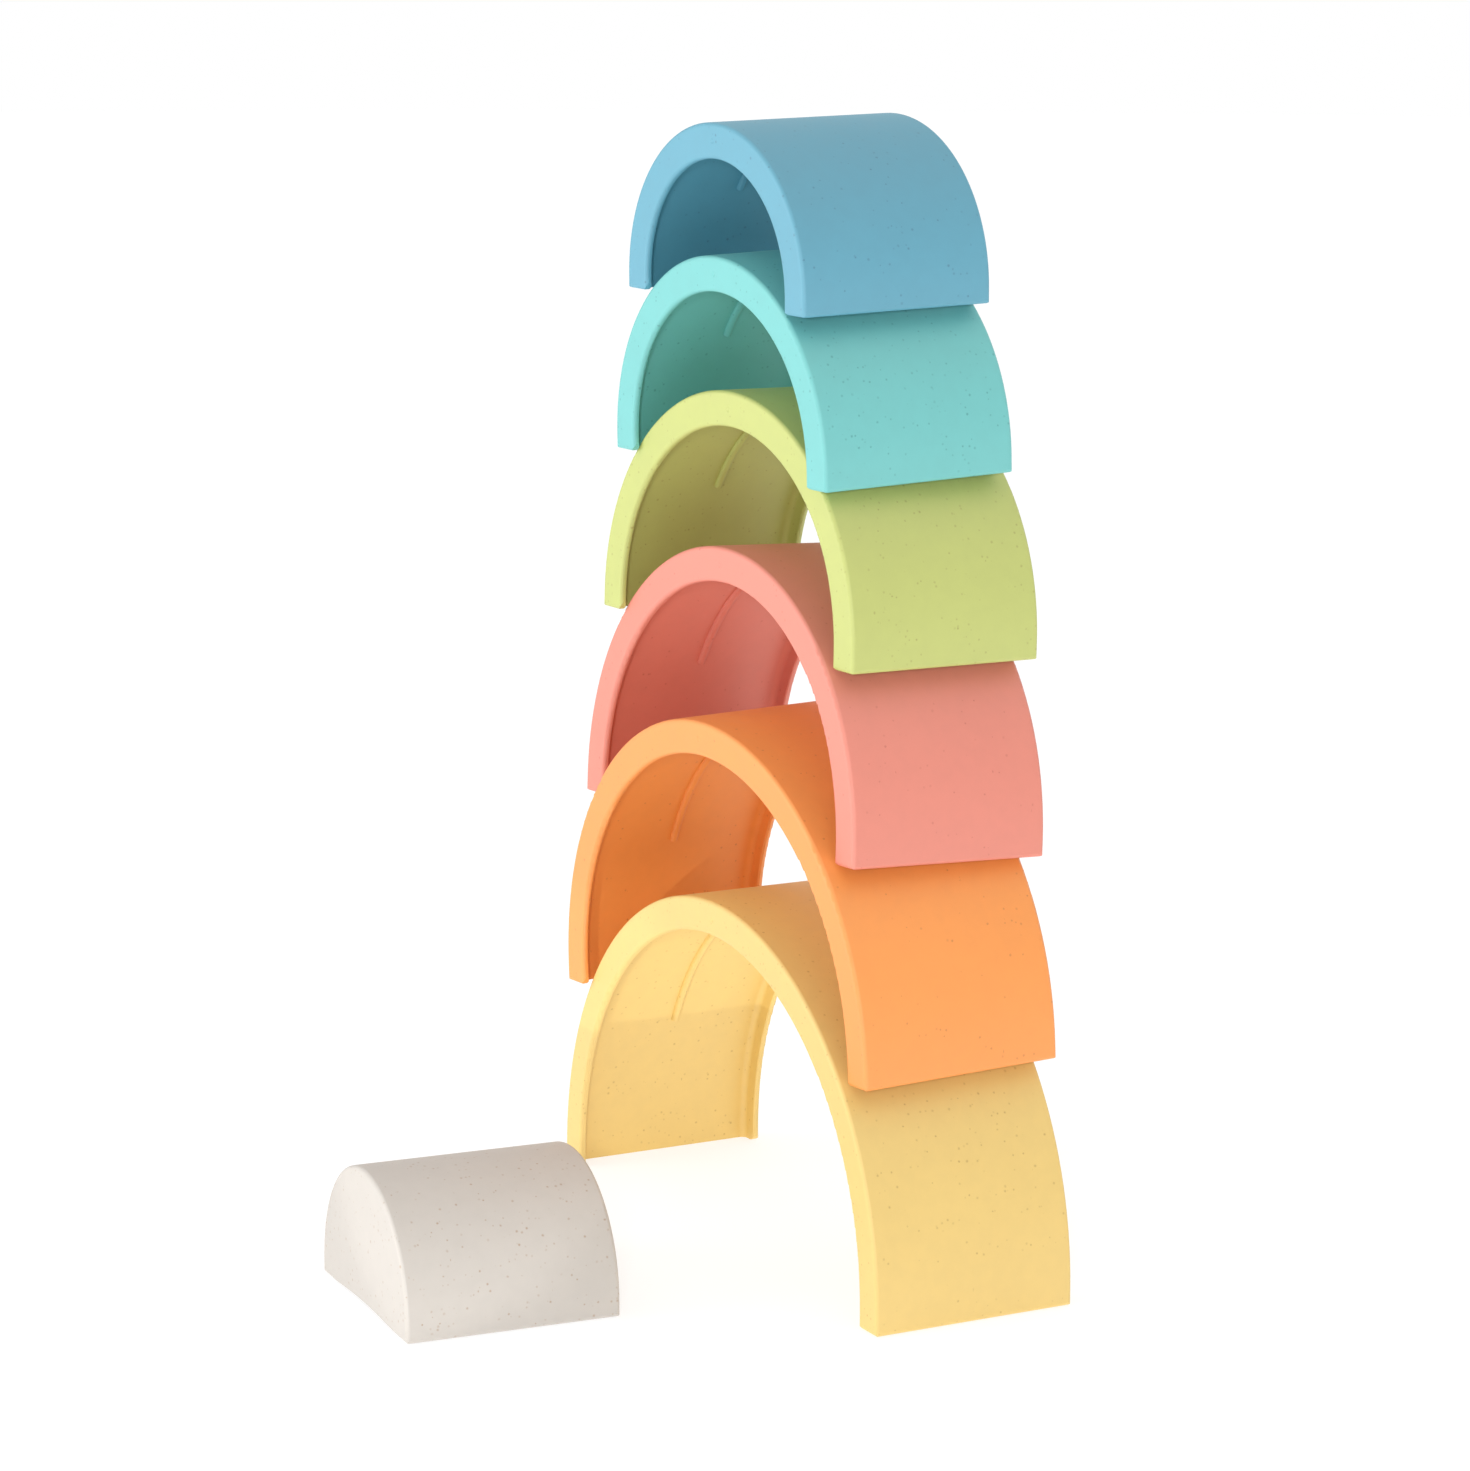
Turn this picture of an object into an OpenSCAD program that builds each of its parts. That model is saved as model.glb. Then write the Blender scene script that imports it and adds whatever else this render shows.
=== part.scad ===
// Nesting rainbow stacker: six half-round arches stacked astride one another, and a half-round block.
// The front faces -Y, and the origin lies on the table, in the middle of the largest arch's left sole.

/* [Arches] */
// Outer radius of the largest arch
largest_radius = 100; // [90:1:120]
// Depth of every piece, front to back
piece_depth = 64.4; // [52:0.2:80]
// Height of the straight legs under each half round
leg_height = 4.4; // [3:0.1:8]
// Width of an arch's front face, between its outer and inner rounds
band_width = 10.35; // [9:0.05:11.5]
// Space left all round between one nested piece and the next
nest_gap = 0.25; // [0.15:0.05:0.6]

/* [Moulding] */
// Thickness of the recessed wall between the two rims
wall = 4.2; // [3:0.1:5]
// Thickness of the front rim and of the rear rim
rim = 2.2; // [1.8:0.1:3]
// Fillet where the rims rise from the recessed wall
root_fillet = 2; // [0.5:0.1:2.5]
// Rounding of the outer edges of the front and rear faces, and under the feet
edge_round = 1.2; // [0.5:0.1:1.4]
// Rounding of the rims' edges on the recess side
rim_round = 0.6; // [0.2:0.1:0.8]
// Rounding of the feet's inner edges, which seat on the arch below
foot_round = 2.5; // [1:0.1:3]

/* [Rib and gate mark] */
// Radius of the half-round rib along the middle of the recessed wall
rib_radius = 1.3; // [0.6:0.1:1.5]
// Angle above the springing line at which the largest arch's rib ends, on either side
rib_end = 25; // [10:1:60]
// How many degrees higher the rib ends on each smaller arch
rib_step = 1.8; // [0:0.1:4]
// Width of the shallow gate mark in the front face, at the crown
gate_width = 1.8; // [1:0.1:3]
// Depth of the gate mark
gate_depth = 0.25; // [0.1:0.05:0.5]

/* [Stack] */
// How far a seated foot stays clear of the arch below
seat_gap = 0.3; // [0.2:0.05:0.6]
// How the orange arch is set down: turn, lean and tip in degrees, then slide to the rear
orange_seat = [2.0, -2.2, 1.3, -0.5]; // [-5:0.1:5]
// How the pink arch is set down
pink_seat = [0.3, 0.2, -3.9, 3.6]; // [-5:0.1:5]
// How the lime arch is set down
lime_seat = [2.3, 2.1, 1.4, -0.4]; // [-5:0.1:5]
// How the turquoise arch is set down
turquoise_seat = [-0.4, -0.2, 2.7, -3.0]; // [-5:0.1:5]
// How the blue arch is set down
blue_seat = [0.8, 0.7, -0.5, -0.9]; // [-5:0.1:5]

/* [Block] */
// Thickness of the block's walls: it is hollow and open underneath
block_wall = 3; // [2:0.1:5]
// Rise of the lower edge of the block's end walls at mid-span, past the rounding of that edge
block_relief = 0.4; // [0.2:0.1:2]
// Space between the back of the block and the front of the largest arch
block_ahead = 52.4; // [45:0.2:120]
// Distance of the block to the right of the set's middle
block_aside = 11.6; // [-60:0.2:60]
// Turn of the block on the table, in degrees
block_turn = -4.3; // [-10:0.1:10]

/* [Hidden] */
$fn = 96;
// Reach of a cutting shape past the surface that it cuts
past = 1;
half_depth = piece_depth / 2;
// Distance between one outer radius and the next smaller one
pitch = band_width + nest_gap;
// Outer radii from the largest arch down to the smallest, with the block as the next one in the row
function radius(i) = largest_radius - i * pitch;
// The largest arch stands on the table, so its own seat is never used
seats = [[0, 0, 0, 0], orange_seat, pink_seat, lime_seat, turquoise_seat, blue_seat];
block_radius = radius(len(seats));
// Distance from the middle of the largest arch to the middle of the flat sole of its left leg
sole_middle = largest_radius - (wall + edge_round) / 2;
function turn(i) = seats[i][0];
function lean(i) = seats[i][1];
function tip(i) = seats[i][2];
function slide(i) = seats[i][3];

// Height of the foot plane of arch i over the middle of the round below, at which the point x, y
// of its inner foot edge, rounded by edge, touches that round
function touch(i, x, y, edge) =
    let (reach = radius(i - 1) + seat_gap + edge)
    let (across = x * cos(turn(i)) - y * sin(turn(i)))
    sqrt(reach * reach - across * across) - y * sin(tip(i)) - edge;
// Half width between the middles of the rims' foot roundings, and between the wall's foot fillets
function rim_half(i) = radius(i) - band_width + foot_round;
function wall_half(i) = radius(i) - wall - root_fillet;
// A rim foot stands on the arch below, unless it has slid right past that arch's face and hangs there
// side is -1 on the left and 1 on the right, end is -1 at the front and 1 at the rear
function rim_stands(i, side, end) =
    let (back = end * (half_depth - rim) * cos(turn(i)) + side * rim_half(i) * sin(turn(i)))
    end * (slide(i) + back) < half_depth + seat_gap;
// The seat is the highest of the heights at which a rim's foot or the wall's foot touches
function seat_height(i) = max([
    for (side = [-1, 1], end = [-1, 1])
        max(concat(
            [touch(i, side * wall_half(i), end * (half_depth - rim), 0)],
            [for (y = rim_stands(i, side, end) ? [half_depth - rim, half_depth - edge_round] : [])
                touch(i, side * rim_half(i), end * y, foot_round)]))]);

// What a round of radius r takes off the corner at the origin of a shape that fills the +X +Y quarter
module corner_cut(r) {
    difference() {
        translate([-past, -past]) square(r + past);
        translate([r, r]) circle(r);
    }
}

// A rectangle from lower to upper, with its two +X corners rounded by r
module rounded_end(lower, upper, r) {
    difference() {
        translate(lower) square(upper - lower);
        translate([upper[0], lower[1]]) mirror([1, 0]) corner_cut(r);
        translate(upper) rotate(180) corner_cut(r);
    }
}

// Section of an arch of outer radius r: a band with a rim at the front and at the rear of its hollow side
module arch_section(r) {
    inner = r - band_width;
    difference() {
        rounded_end([inner, -half_depth], [r, half_depth], edge_round);
        for (side = [0, 1]) mirror([0, side]) {
            translate([inner, -half_depth]) corner_cut(edge_round);
            translate([inner, rim - half_depth]) mirror([0, 1]) corner_cut(rim_round);
        }
        rounded_end([inner - past, rim - half_depth], [r - wall, half_depth - rim], root_fillet);
    }
}

// Sweeps a section through the half round about the depth axis, and down the two straight legs
module half_round_sweep() {
    translate([0, 0, leg_height]) rotate([90, 0, 0]) rotate_extrude(angle = 180) children();
    for (side = [0, 1]) mirror([side, 0, 0]) linear_extrude(leg_height) children();
}

// Runs a flat shape, drawn as seen from the front, through the whole depth
module through_depth() {
    translate([0, half_depth + past, 0]) rotate([90, 0, 0]) linear_extrude(piece_depth + 2 * past) children();
}

// Takes the sharp lower edges off the front and the rear of a foot of outer radius r
module foot_end_cuts(r) {
    for (side = [0, 1]) mirror([0, side, 0])
        translate([-r - past, -half_depth, 0]) rotate([90, 0, 90])
        linear_extrude(2 * (r + past)) corner_cut(edge_round);
}

// Half-round rib round the middle of the recessed wall of arch number i
module rib(i) {
    end = rib_end + i * rib_step;
    translate([0, 0, leg_height]) rotate([90, 0, 0])
        rotate(end) rotate_extrude(angle = 180 - 2 * end)
        translate([radius(i) - wall, 0]) circle(rib_radius);
}

// Shallow dish that the moulding gate leaves in the front face of an arch
module gate_mark(r) {
    dish = (gate_width * gate_width / 4 + gate_depth * gate_depth) / (2 * gate_depth);
    translate([0, gate_depth - half_depth - dish, leg_height + r - band_width / 2]) sphere(dish);
}

// Arch number i, standing on its feet over the origin
module arch(i) {
    r = radius(i);
    difference() {
        union() {
            half_round_sweep() arch_section(r);
            rib(i);
        }
        for (side = [0, 1]) mirror([side, 0, 0]) through_depth() {
            translate([r - band_width, 0]) corner_cut(foot_round);
            translate([r, 0]) mirror([1, 0]) corner_cut(edge_round);
        }
        foot_end_cuts(r);
        gate_mark(r);
    }
}

// Sets its children down where arch i stands, from the table up
module seated(i) {
    if (i == 0) translate([sole_middle, 0, 0]) children();
    else seated(i - 1)
        translate([0, 0, leg_height]) rotate([0, lean(i), 0])
        translate([0, slide(i), seat_height(i)]) rotate([0, 0, turn(i)]) rotate([tip(i), 0, 0])
        children();
}

module yellow_arch() {
    color("#fadc8a") seated(0) arch(0);
}

module orange_arch() {
    color("#fbb06c") seated(1) arch(1);
}

module pink_arch() {
    color("#f29a90") seated(2) arch(2);
}

module lime_arch() {
    color("#d3e08a") seated(3) arch(3);
}

module turquoise_arch() {
    color("#7fd8d0") seated(4) arch(4);
}

module blue_arch() {
    color("#7fb8d6") seated(5) arch(5);
}

// A half round of radius r on straight sides down to the height bottom, its end edges rounded by edge
module half_round_solid(r, half, edge, bottom) {
    translate([0, 0, leg_height]) intersection() {
        rotate([90, 0, 0]) rotate_extrude() rounded_end([0, -half], [r, half], edge);
        translate([-r - past, -half - past, 0]) cube([2 * (r + past), 2 * (half + past), r + past]);
    }
    translate([0, 0, bottom]) linear_extrude(leg_height - bottom)
        for (side = [0, 1]) mirror([side, 0]) rounded_end([0, -half], [r, half], edge);
}

// Half-round shell, open underneath, that fills the smallest arch when the set is nested
module cream_block() {
    r = block_radius;
    hollow = r - block_wall;
    relief_half = hollow - block_wall;
    relief_rise = edge_round + block_relief;
    relief_radius = (relief_half * relief_half + relief_rise * relief_rise) / (2 * relief_rise);
    color("#e6dfd6")
    translate([sole_middle + block_aside, -half_depth - block_ahead - half_depth, 0]) rotate(block_turn)
    difference() {
        half_round_solid(r, half_depth, edge_round, 0);
        half_round_solid(hollow, half_depth - block_wall, root_fillet, -past);
        through_depth() translate([0, relief_rise - relief_radius]) circle(relief_radius);
        for (side = [0, 1]) mirror([side, 0, 0])
            through_depth() translate([r, 0]) mirror([1, 0]) corner_cut(edge_round);
        foot_end_cuts(r);
    }
}

yellow_arch();
orange_arch();
pink_arch();
lime_arch();
turquoise_arch();
blue_arch();
cream_block();
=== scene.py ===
# %% [markdown]
# # A nesting rainbow, stacked into a tower
# The real toy is a set of seven loose mouldings: six half-round arches, each a little
# smaller than the last, and a half-round block that fills the smallest arch. Here the
# arches stand astride one another and the block lies on the table in front.
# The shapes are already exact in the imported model, so this lesson keeps them as they are,
# and gives them what a drawing for the workshop lacks: the finish, the light and the camera.

# %% Load the frame
import math

import bpy
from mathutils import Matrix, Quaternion, Vector


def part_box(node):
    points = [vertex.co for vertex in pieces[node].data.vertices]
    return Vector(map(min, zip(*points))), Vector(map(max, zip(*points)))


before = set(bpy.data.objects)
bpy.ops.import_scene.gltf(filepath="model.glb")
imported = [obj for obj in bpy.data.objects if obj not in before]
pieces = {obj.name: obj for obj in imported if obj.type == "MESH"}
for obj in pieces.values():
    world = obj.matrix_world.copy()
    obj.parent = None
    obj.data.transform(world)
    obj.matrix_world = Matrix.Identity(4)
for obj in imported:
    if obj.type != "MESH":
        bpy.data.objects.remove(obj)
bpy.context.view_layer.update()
print("pieces:", ", ".join(sorted(pieces)))

# %% [markdown]
# Everything is measured from the largest arch, because it stands on the table and the others
# stand on it. The middle of its footprint is the point that the camera and the lamps refer to.
# Reading it from the model is safer than typing it in: it stays right if the model is shifted.

# %% Find the middle of the tower
lowest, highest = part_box("yellow_arch")
tower = Vector(((lowest.x + highest.x) / 2, (lowest.y + highest.y) / 2, lowest.z))
print("tower stands at", [round(v, 4) for v in tower])

# %% [markdown]
# The photograph was taken from a little above the table and from well round to the right, with
# a long lens, so that near and far edges hardly converge. One way to set a camera is to push
# it about by hand until the outlines agree. It is quicker and more exact to write down an
# angle round the tower, an angle above the table and a distance, and to work out the place.
# The camera was not quite level, so it is rolled about its own line of sight as well.
# Lengths are in metres, as everywhere in Blender, apart from the lens and its sensor.

# %% Set up the camera
CAMERA_ROUND = math.radians(62.09)
CAMERA_ABOVE = math.radians(11.08)
CAMERA_ROLL = math.radians(0.23)
CAMERA_DISTANCE = 1.3373
CAMERA_AIM_HEIGHT = 0.1517
CAMERA_AIM_ASIDE = -0.0219
LENS_MM = 110.49
SENSOR_MM = 36.0

rightward = Vector((math.cos(CAMERA_ROUND), math.sin(CAMERA_ROUND), 0))
backward = Vector((
    math.sin(CAMERA_ROUND) * math.cos(CAMERA_ABOVE),
    -math.cos(CAMERA_ROUND) * math.cos(CAMERA_ABOVE),
    math.sin(CAMERA_ABOVE),
))
aim = tower + Vector((0, 0, CAMERA_AIM_HEIGHT)) + rightward * CAMERA_AIM_ASIDE

camera_data = bpy.data.cameras.new("photo_camera")
camera_data.lens = LENS_MM
camera_data.sensor_width = SENSOR_MM
camera = bpy.data.objects.new("photo_camera", camera_data)
camera.location = aim + backward * CAMERA_DISTANCE
facing = backward.to_track_quat("Z", "Y") @ Quaternion((0, 0, 1), CAMERA_ROLL)
camera.rotation_euler = facing.to_euler()
bpy.context.scene.collection.objects.link(camera)
bpy.context.scene.camera = camera
print("camera at", [round(v, 3) for v in camera.location])

# %% [markdown]
# A finish in Blender is a net of nodes, and a net of many small sums is hard to read.
# So one small class wraps the output of a node, and a plus, minus or times between two of them
# adds the Math node that does the sum. A sum then reads as it would on paper, and 1 - mask
# works too, because the class also answers when the plain number stands first.

# %% A class for shader sums
class Wire:
    """One output of a node, which plain sums can be written with."""

    def __init__(self, net, socket):
        self.net = net
        self.socket = socket

    def combine(self, operation, first, second):
        return self.net.node("ShaderNodeMath", {"operation": operation}, {0: first, 1: second})

    def __add__(self, other):
        return self.combine("ADD", self, other)

    def __radd__(self, other):
        return self.combine("ADD", other, self)

    def __sub__(self, other):
        return self.combine("SUBTRACT", self, other)

    def __rsub__(self, other):
        return self.combine("SUBTRACT", other, self)

    def __mul__(self, other):
        return self.combine("MULTIPLY", self, other)

    def __rmul__(self, other):
        return self.combine("MULTIPLY", other, self)

    def __gt__(self, other):
        return self.combine("GREATER_THAN", self, other)

    def __lt__(self, other):
        return self.combine("LESS_THAN", self, other)


print("wires answer to + - * > and <, with a plain number on either side")

# %% [markdown]
# Every other node is made by one method. It takes the node's type, its settings and what goes
# into its sockets, in that order, because a setting can change which sockets a node has.
# Colours are blended by a Mix node: a Math node would turn them grey. A Mix node keeps a set of
# sockets for each kind of value, so its colours are told by number: 6 and 7 in, and 2 out.

# %% A class for nets of nodes
class Net:
    """The nodes of one material or of the world."""

    def __init__(self, tree):
        self.tree = tree
        tree.nodes.clear()

    def node(self, kind, settings=None, inputs=None, output=0):
        """Makes a node, and gives the wire from one of its outputs if it has any."""
        made = self.tree.nodes.new(kind)
        for name, value in (settings or {}).items():
            setattr(made, name, value)
        for name, value in (inputs or {}).items():
            if isinstance(value, Wire):
                self.tree.links.new(value.socket, made.inputs[name])
            else:
                made.inputs[name].default_value = value
        return Wire(self, made.outputs[output]) if len(made.outputs) else made

    def blend(self, share, first, second):
        """A colour that goes from first to second as share goes from 0 to 1."""
        settings = {"data_type": "RGBA", "blend_type": "MIX", "clamp_factor": True}
        return self.node("ShaderNodeMix", settings, {0: share, 6: first, 7: second}, 2)

    def ramp(self, value, low, high):
        """A soft step, 0 below low and 1 above high."""
        settings = {"interpolation_type": "SMOOTHSTEP"}
        return self.node("ShaderNodeMapRange", settings, {0: value, 1: low, 2: high})


def opaque(colour):
    """A colour with the fourth number that a colour socket wants."""
    return (*colour, 1.0)


def grey(level):
    """A grey from 0, black, to 1, white."""
    return opaque((level, level, level))


print("nets of nodes are ready")

# %% [markdown]
# The toy is moulded from a plant-based plastic. Close up it is matt, a little uneven in
# colour, and strewn with fine dark flecks and short fibres of the filler. A flat colour would
# look like paint. A picture of the flecks would need a file and would stretch over the rounds.
# Noise that is worked out in space, from the place of each point in the piece, has neither fault.
#
# The noise has a cell, the size of its blots in metres. It also shakes the places that the
# flecks are worked out from, so that no fleck comes out quite round.

# %% Noise in space
NOISE_MIDDLE = 0.5
NOISE_ROUGHNESS = 0.55
SHAKE_CELL = 0.0012
SHAKE = 0.00035


def noise(net, place, cell, detail=2, output="Fac"):
    """Smooth random values between 0 and 1."""
    inputs = {"Vector": place, "Scale": 1 / cell, "Detail": detail, "Roughness": NOISE_ROUGHNESS}
    return net.node("ShaderNodeTexNoise", {"noise_dimensions": "3D"}, inputs, output)


def shaken(net, place):
    """The same places, each moved a little at random."""
    chance = noise(net, place, SHAKE_CELL, output="Color")
    middle = (NOISE_MIDDLE, NOISE_MIDDLE, NOISE_MIDDLE)
    even = net.node("ShaderNodeVectorMath", {"operation": "SUBTRACT"}, {0: chance, 1: middle})
    move = net.node("ShaderNodeVectorMath", {"operation": "SCALE"}, {0: even, "Scale": SHAKE})
    return net.node("ShaderNodeVectorMath", {"operation": "ADD"}, {0: place, 1: move})


print("places are shaken by up to", round(SHAKE * NOISE_MIDDLE * 1000, 3), "mm each way")

# %% [markdown]
# Flecks come from a Voronoi pattern: each of its cells has a middle, and a point close enough to
# that middle is inside a fleck. Each cell also has a random colour. Its red decides whether the
# cell gets a fleck at all, so that they lie scattered instead of in rows, its green how large
# the fleck is, and its blue how dark. Fibres are flecks in a space that is squeezed along one
# direction, which draws them out. They lie in two directions, so they are made twice.

# %% Flecks and fibres
FAINTEST_SPOT = 0.35
FLECK_CELL = 0.0018
FLECK_REACH = (0.08, 0.17)
FIBRE_CELL = 0.0026
FIBRE_REACH = (0.02, 0.05)
FIBRE_SQUEEZE = 0.28
FIBRE_TURNS = ((0.4, 0.9, 0.2), (1.3, -0.5, 1.1))


def scattered(net, place, cell, reach, share):
    """A mask of spots round the middles of random cells, given the share that has one."""
    settings = {"voronoi_dimensions": "3D", "feature": "F1"}
    inputs = {"Vector": place, "Scale": 1 / cell}
    distance = net.node("ShaderNodeTexVoronoi", settings, inputs, "Distance")
    chance = net.node("ShaderNodeTexVoronoi", settings, inputs, "Color")
    draw, size, depth = (
        net.node("ShaderNodeSeparateColor", {}, {0: chance}, part)
        for part in ("Red", "Green", "Blue"))
    inner, outer = reach
    spot = 1 - net.ramp(distance, inner, outer * (1 + size))
    return spot * (draw > 1 - share) * (FAINTEST_SPOT + depth * (1 - FAINTEST_SPOT))


def fibrous(net, place, share):
    """A mask of short fibres."""
    mask = 0
    for turn in FIBRE_TURNS:
        inputs = {"Vector": place, "Rotation": turn, "Scale": (1, 1, FIBRE_SQUEEZE)}
        squeezed = net.node("ShaderNodeMapping", {"vector_type": "POINT"}, inputs)
        mask = mask + scattered(net, squeezed, FIBRE_CELL, FIBRE_REACH, share)
    return mask


print("small flecks reach", round(FLECK_CELL * FLECK_REACH[1] * 1000, 2), "mm from their middles")

# %% [markdown]
# The plastic itself is one colour that drifts a little darker and lighter, in fine mottles and
# in broad clouds. The mould leaves a fine grain, which a Bump node is enough for, because it
# is far too shallow to be seen in the outline. What drifts is fed to the colour, the roughness
# and the bump. The gloss is the same all over, so it is set on the shader itself.

# %% A finish for flecked plastic
MOTTLE_CELL = 0.0045
CLOUD_CELL = 0.03
GRAIN_CELL = 0.00055
MOTTLE_SHARE = 0.6
UNEVEN_RANGE = (0.3, 0.7)
BODY_TINTS = (0.975, 1.02)
FLECK_STRENGTH = 0.8
ROUGHNESS = 0.52
MOTTLE_ROUGHNESS = 0.12
GRAIN_ROUGHNESS = 0.06
GRAIN_RISE = 0.7
MOTTLE_RISE = 0.8
FLECK_DIP = 0.3
BUMP_HEIGHT = 0.00003
BUMP_STRENGTH = 0.6
PLASTIC_IOR = 1.46
PLASTIC_SPECULAR = 1.0


def tint(colour, amount):
    """A colour made darker, below 1, or lighter, above 1."""
    return tuple(min(1.0, c * amount) for c in colour)


def flecked_plastic(name, colour, fleck_colour, fleck_share, fibre_share):
    """The material of one piece, in its own colours."""
    material = bpy.data.materials.new(name)
    material.use_nodes = True
    net = Net(material.node_tree)
    place = net.node("ShaderNodeTexCoord", {}, {}, "Object")
    mottle = noise(net, place, MOTTLE_CELL, detail=3)
    cloud = noise(net, place, CLOUD_CELL)
    grain = noise(net, place, GRAIN_CELL)
    loose = shaken(net, place)
    flecks = scattered(net, loose, FLECK_CELL, FLECK_REACH, fleck_share)
    fibres = fibrous(net, loose, fibre_share)

    uneven = net.ramp(mottle * MOTTLE_SHARE + cloud * (1 - MOTTLE_SHARE), *UNEVEN_RANGE)
    darker, lighter = (opaque(tint(colour, amount)) for amount in BODY_TINTS)
    body = net.blend(uneven, darker, lighter)
    marked = net.blend((flecks + fibres) * FLECK_STRENGTH, body, opaque(fleck_colour))
    rough = ROUGHNESS + (mottle - NOISE_MIDDLE) * MOTTLE_ROUGHNESS + grain * GRAIN_ROUGHNESS
    height = grain * GRAIN_RISE + mottle * MOTTLE_RISE - flecks * FLECK_DIP
    bump = net.node("ShaderNodeBump", {}, {
        "Height": height, "Distance": BUMP_HEIGHT, "Strength": BUMP_STRENGTH,
    })
    surface = net.node("ShaderNodeBsdfPrincipled", {}, {
        "Base Color": marked, "Roughness": rough, "Normal": bump,
        "IOR": PLASTIC_IOR, "Specular IOR Level": PLASTIC_SPECULAR,
    })
    net.node("ShaderNodeOutputMaterial", {}, {"Surface": surface})
    return material


print("plastic of roughness", ROUGHNESS, "is ready")

# %% [markdown]
# Each piece has its own colour, and the filler shows more in some than in others: plainly in
# the cream block and the turquoise arch, and hardly at all in the pink and orange ones.
# A line of the table gives the plastic's colour, the colour of its flecks, and the shares of
# the cells that hold a fleck and a fibre.

# %% Give each piece its finish
FINISHES = {
    "yellow": ((0.71, 0.50, 0.155), (0.45, 0.27, 0.06), 0.30, 0.30),
    "orange": ((0.82, 0.285, 0.056), (0.50, 0.16, 0.03), 0.12, 0.10),
    "pink": ((0.68, 0.215, 0.155), (0.50, 0.12, 0.08), 0.12, 0.12),
    "lime": ((0.46, 0.50, 0.14), (0.30, 0.27, 0.06), 0.35, 0.30),
    "turquoise": ((0.14, 0.475, 0.46), (0.05, 0.25, 0.24), 0.35, 0.30),
    "blue": ((0.094, 0.315, 0.42), (0.05, 0.17, 0.24), 0.22, 0.18),
    "cream": ((0.48, 0.445, 0.405), (0.33, 0.22, 0.14), 0.50, 0.45),
}

for name, piece in pieces.items():
    colour_name = name.split("_")[0]
    finish = flecked_plastic(colour_name + "_flecked_plastic", *FINISHES[colour_name])
    for slot in piece.material_slots:
        slot.material = finish
    print(name, "wears", finish.name, "in", len(piece.material_slots), "slot(s)")

# %% [markdown]
# The photograph has a pure white ground. A white table lit until it burns out would spoil the
# colours of the toy. So the floor has two faces, and a Light Path node tells them apart. The
# light that goes from thing to thing meets a pale table that glows a little. The camera and
# the reflections see a greyer card, lit like everything else and lifted towards white, and
# the shadow stays on it.

# %% The two faces of the floor
TABLE_GREY = 0.8
TABLE_GLOW = 0.8
CARD_GREY = 0.34
CARD_LIFT = 0.72


def seen_directly(net):
    """1 for a ray from the camera, a mirror or a glass, and 0 for the light between things."""
    camera_ray, glossy_ray, glass_ray = (
        net.node("ShaderNodeLightPath", {}, {}, ray)
        for ray in ("Is Camera Ray", "Is Glossy Ray", "Is Transmission Ray"))
    return camera_ray + glossy_ray + glass_ray


def glowing(net, level, strength):
    """A matt grey that also glows white."""
    matt = net.node("ShaderNodeBsdfDiffuse", {}, {"Color": grey(level)})
    glow = net.node("ShaderNodeEmission", {}, {"Color": grey(1.0), "Strength": strength})
    return net.node("ShaderNodeAddShader", {}, {0: matt, 1: glow})


floor_material = bpy.data.materials.new("studio_floor")
floor_material.use_nodes = True
net = Net(floor_material.node_tree)
table = glowing(net, TABLE_GREY, TABLE_GLOW)
card = glowing(net, CARD_GREY, CARD_LIFT)
shown = net.node("ShaderNodeMixShader", {}, {0: seen_directly(net), 1: table, 2: card})
net.node("ShaderNodeOutputMaterial", {}, {"Surface": shown})
print("card of grey", CARD_GREY, "lifted by", CARD_LIFT)

# %% [markdown]
# The floor is a disc so wide that its edge is lost in the white. It lies a hair below the feet,
# because two surfaces in one plane would flicker. Cycles can aim rays straight at whatever
# glows. Such a ray would meet the wrong face of the floor, so that is switched off here, and
# further down for the world.

# %% Lay the floor
FLOOR_RADIUS = 6.0
FLOOR_SIDES = 96
FLOOR_DROP = 0.0002

floor_material.cycles.emission_sampling = "NONE"
bpy.ops.mesh.primitive_circle_add(
    vertices=FLOOR_SIDES, radius=FLOOR_RADIUS, fill_type="NGON",
    location=tower - Vector((0, 0, FLOOR_DROP)))
floor = bpy.context.object
floor.name = "studio_floor"
floor.data.materials.append(floor_material)
print("floor of", FLOOR_RADIUS, "m")

# %% [markdown]
# The light is that of a small photo tent: a bright roof that fades to nothing near the table.
# A world with one even colour would be simpler, but it would fill the insides of the arches,
# which are deep in colour on the real toy. The camera and the reflections see plain white.

# %% Hang the tent
SKY_LOW = 0.01
SKY_HIGH = 1.3

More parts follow.
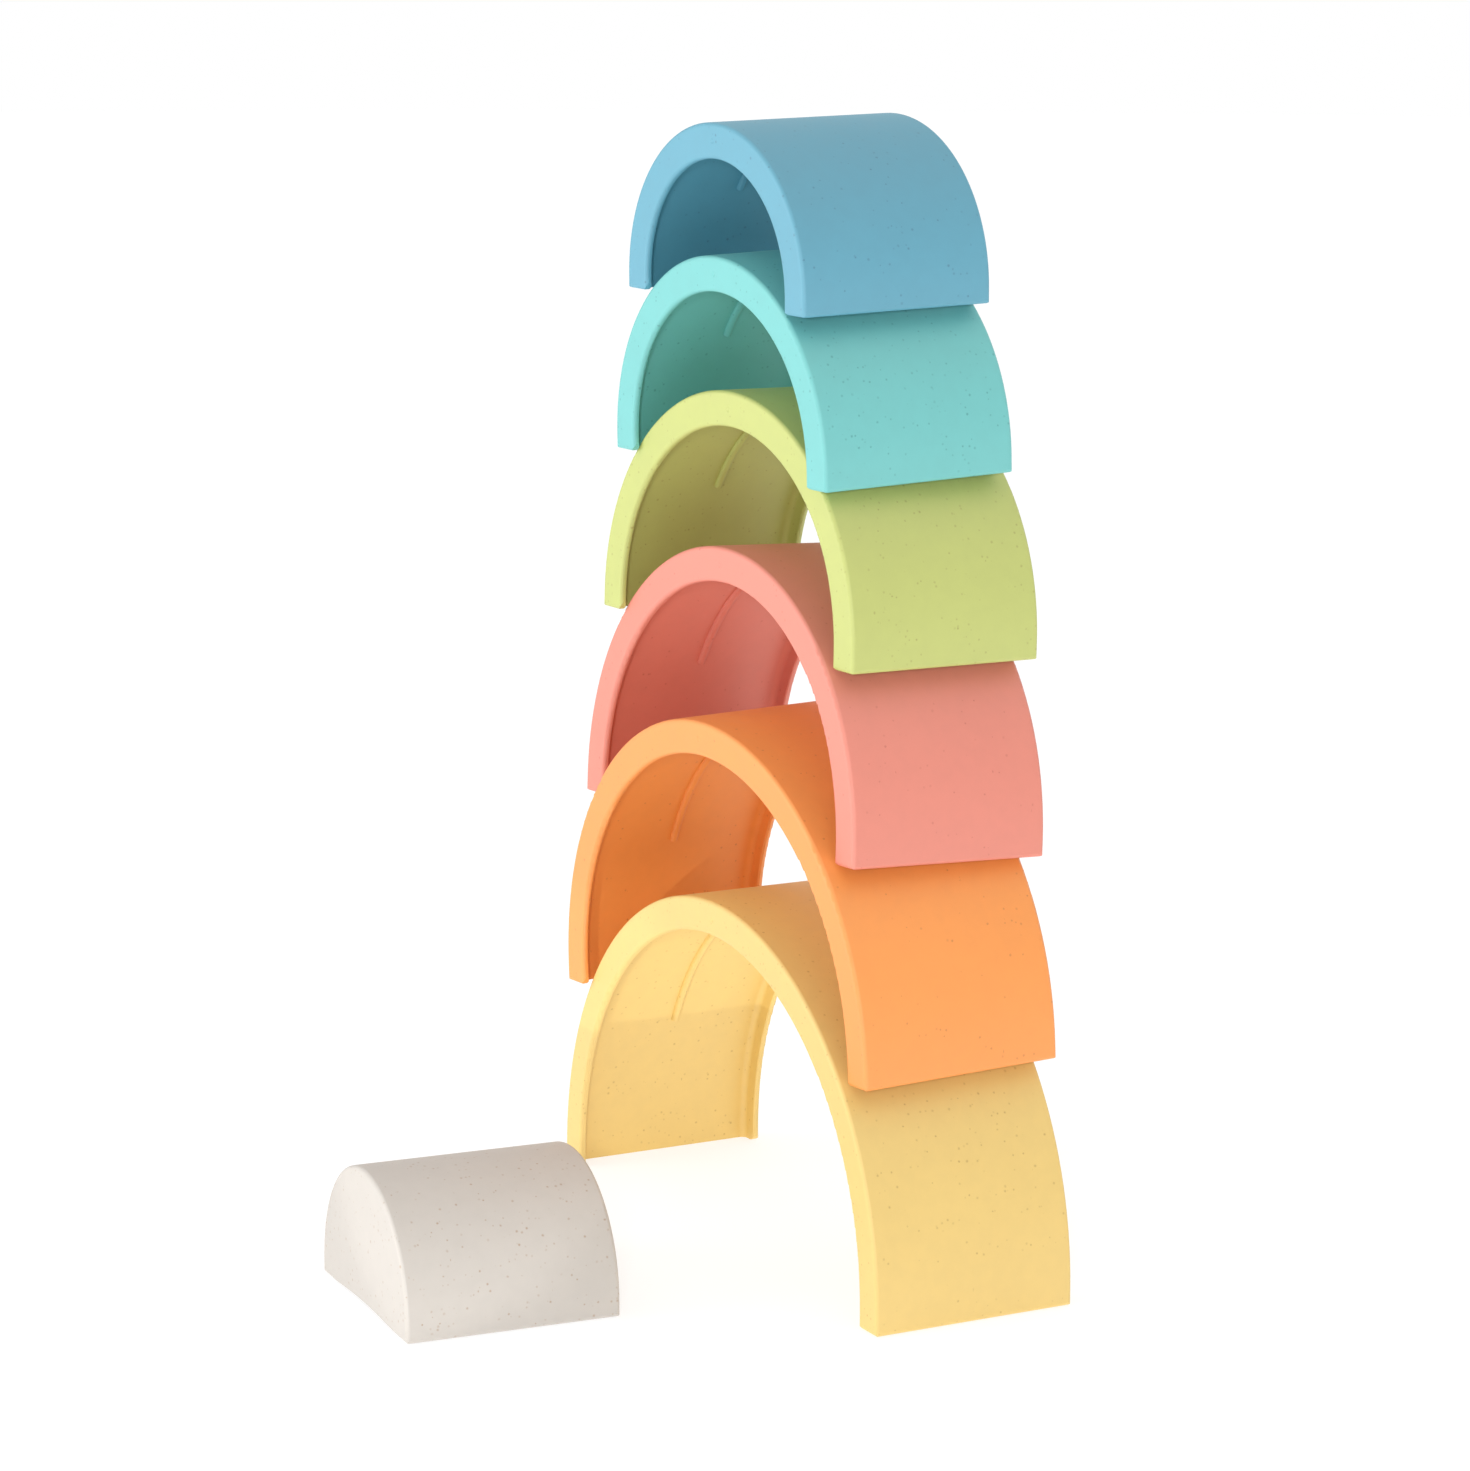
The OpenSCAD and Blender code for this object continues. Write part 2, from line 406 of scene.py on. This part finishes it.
world = bpy.data.worlds.new("photo_tent")
world.use_nodes = True
world.cycles.sampling_method = "NONE"
bpy.context.scene.world = world
net = Net(world.node_tree)
direction = net.node("ShaderNodeTexCoord", {}, {}, "Generated")
upward = net.node("ShaderNodeSeparateXYZ", {}, {0: direction}, "Z")
sky = net.blend(net.ramp(upward, 0.0, 1.0), grey(SKY_LOW), grey(SKY_HIGH))
tent = net.node("ShaderNodeBackground", {}, {"Color": sky, "Strength": 1.0})
plain = net.node("ShaderNodeBackground", {}, {"Color": grey(1.0), "Strength": 1.0})
surroundings = net.node("ShaderNodeMixShader", {}, {0: seen_directly(net), 1: tent, 2: plain})
net.node("ShaderNodeOutputWorld", {}, {"Surface": surroundings})
print("tent from", SKY_LOW, "at the table to", SKY_HIGH, "overhead")

# %% [markdown]
# Three lamps shape what the tent leaves flat. A broad one stands in front of the arches and
# brings out their flat front faces. A small one near the camera throws the shadows of the front
# rims onto the inner walls. A narrow beam skims the table and passes over the block, whose
# shadow leaves the edge between two tones on the inner wall of the yellow arch. A lamp's line
# in the table gives its place from the foot of the tower, its power in watts and its width.

# %% Set the lamps
LAMPS = {
    "front_lamp": ((-0.45, -1.40, 0.45), 9.75, 0.90),
    "key_lamp": ((1.315, -0.838, 0.512), 7.0, 0.12),
}
LAMP_AIM = Vector((0, 0, CAMERA_AIM_HEIGHT))
BEAM_START = Vector((0.614, -0.786, 0.0066))
BEAM_END = Vector((-0.09, 0.0, 0.048))
BEAM_WATTS = 9.0
BEAM_ANGLE = math.radians(6.2)
BEAM_BLEND = 0.5
BEAM_SIZE = 0.005


def place_lamp(data, start, end):
    """Puts a lamp at start and turns it towards end, both measured from the tower's foot."""
    lamp = bpy.data.objects.new(data.name, data)
    lamp.location = tower + start
    lamp.rotation_euler = (start - end).to_track_quat("Z", "Y").to_euler()
    bpy.context.scene.collection.objects.link(lamp)
    print(lamp.name, "of", data.energy, "W at", [round(v, 3) for v in lamp.location])


for name, (start, watts, size) in LAMPS.items():
    area = bpy.data.lights.new(name, "AREA")
    area.energy = watts
    area.size = size
    place_lamp(area, Vector(start), LAMP_AIM)

beam = bpy.data.lights.new("low_beam", "SPOT")
beam.energy = BEAM_WATTS
beam.spot_size = BEAM_ANGLE
beam.spot_blend = BEAM_BLEND
beam.shadow_soft_size = BEAM_SIZE
place_lamp(beam, BEAM_START, BEAM_END)

# %% [markdown]
# The picture is shown with the plain Standard view, so that a colour appears as it is written.

# %% Finish
bpy.context.scene.view_settings.view_transform = "Standard"
